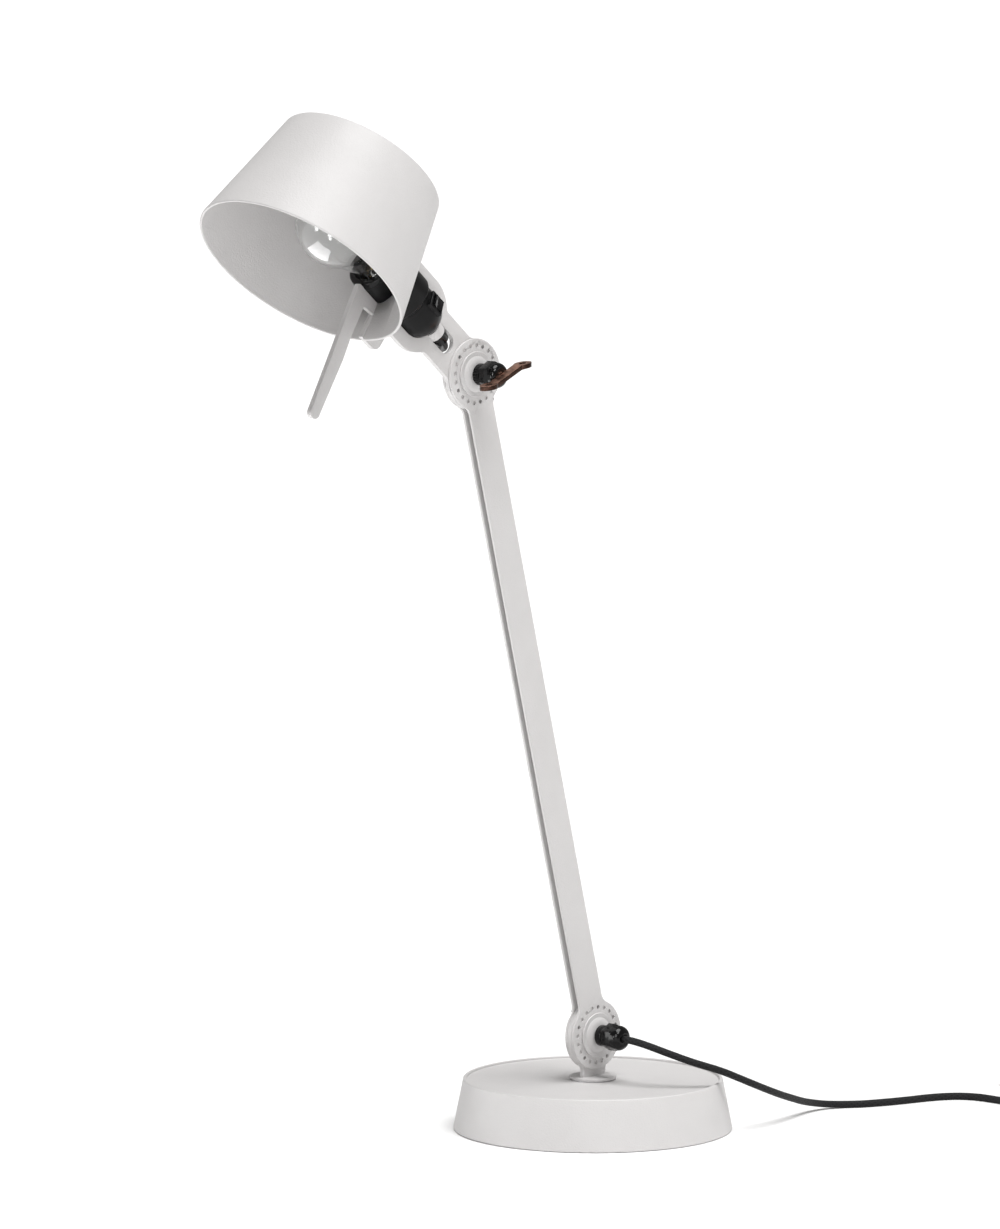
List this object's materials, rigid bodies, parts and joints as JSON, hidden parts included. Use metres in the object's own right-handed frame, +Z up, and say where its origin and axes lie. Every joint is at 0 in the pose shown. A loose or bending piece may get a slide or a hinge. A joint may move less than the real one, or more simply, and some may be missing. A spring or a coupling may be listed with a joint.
{
  "type": "desk lamp",
  "caption": "Swing arm desk lamp: weighted round base, swivelling foot, twin-plate arm with clamped hinges, tilting conical shade with a long handle, and a free cord.",
  "frame": {"origin": "centre of the underside of the round base, on the surface that the lamp stands on", "axes": "+Z up; the arm leans towards -Y; both tilt hinges turn about X, with the cord gland and the wing lever on the +X side"},
  "size_m": [0.3192, 0.7162, 0.7357],
  "materials": {
    "white_paint": "satin powder coat",
    "steel": "zinc plated",
    "cast_iron": "raw casting",
    "rubber": "matte",
    "black_gloss": "glossy nylon",
    "black_satin": "satin",
    "copper": "aged copper",
    "brass": "bright",
    "ceramic": "unglazed porcelain",
    "glass": "clear",
    "wire": "insulated wire",
    "cord_cover": "braided textile"
  },
  "bodies": {
    "base": {"rest_pad": "rubber", "base_cover": "steel", "base_cover_screws": "steel", "base_weight": "cast_iron", "base_shell": "white_paint"},
    "foot": {"swivel_washer": "steel", "foot_bracket": "white_paint", "foot_stud": "steel", "foot_retainer": "steel", "foot_nut": "steel", "lower_pivot_tube": "steel", "lower_cup_front": "white_paint", "lower_cup_rear": "white_paint", "lower_rear_nut": "black_gloss", "lower_wires": "wire", "gland_body": "black_gloss", "gland_seal": "rubber", "gland_nut": "black_gloss", "cord": "cord_cover", "cord_coil": "cord_cover", "coil_tie": "black_gloss", "plug_body": "black_gloss", "plug_pins": "brass"},
    "arm": {"arm_plate_right": "white_paint", "arm_plate_left": "white_paint", "arm_spacers": "steel", "arm_wires": "wire", "upper_pivot_tube": "steel", "upper_cup_front": "white_paint", "upper_cup_rear": "white_paint", "upper_ring_nut": "steel", "lead_bush": "black_gloss", "clamp_collar": "black_gloss"},
    "head": {"head_plate": "white_paint", "holder_boss": "white_paint", "holder_nipple": "steel", "holder_nut": "steel", "strain_relief": "black_gloss", "holder_lead": "cord_cover", "holder_cap": "black_satin", "holder_body": "black_satin", "holder_ring": "black_satin", "holder_insert": "ceramic", "holder_shell": "brass", "centre_contact": "brass", "bulb_cap": "brass", "bulb_insulator": "black_gloss", "bulb_tip": "steel", "bulb_glass": "glass", "bulb_stem": "glass", "bulb_filament": "wire", "shade": "white_paint"},
    "clamp": {"clamp_knob": "black_gloss", "wing_lever": "copper"},
    "rocker": {"switch_rocker": "black_gloss"}
  },
  "joints": [
    {"name": "foot_swivel", "type": "hinge", "parent": "base", "child": "foot", "pos_m": [0, 0, 0.035], "axis": [0, 0, 1], "range_deg": [-165, 165]},
    {"name": "arm_tilt", "type": "hinge", "parent": "foot", "child": "arm", "pos_m": [0, 0, 0.0683], "axis": [1, 0, 0], "range_deg": [-60, 45]},
    {"name": "head_tilt", "type": "hinge", "parent": "arm", "child": "head", "pos_m": [0, -0.12434, 0.54908], "axis": [1, 0, 0], "range_deg": [-70, 80]},
    {"name": "knob_turn", "type": "hinge", "parent": "arm", "child": "clamp", "pos_m": [0, -0.12434, 0.54908], "axis": [1, 0, 0], "range_deg": [-45, 180]},
    {"name": "switch_rock", "type": "hinge", "parent": "head", "child": "rocker", "pos_m": [0.0155, -0.17663, 0.60033], "axis": [-0.342, 0.604, 0.7198], "range_deg": [-14, 0]}
  ]
}
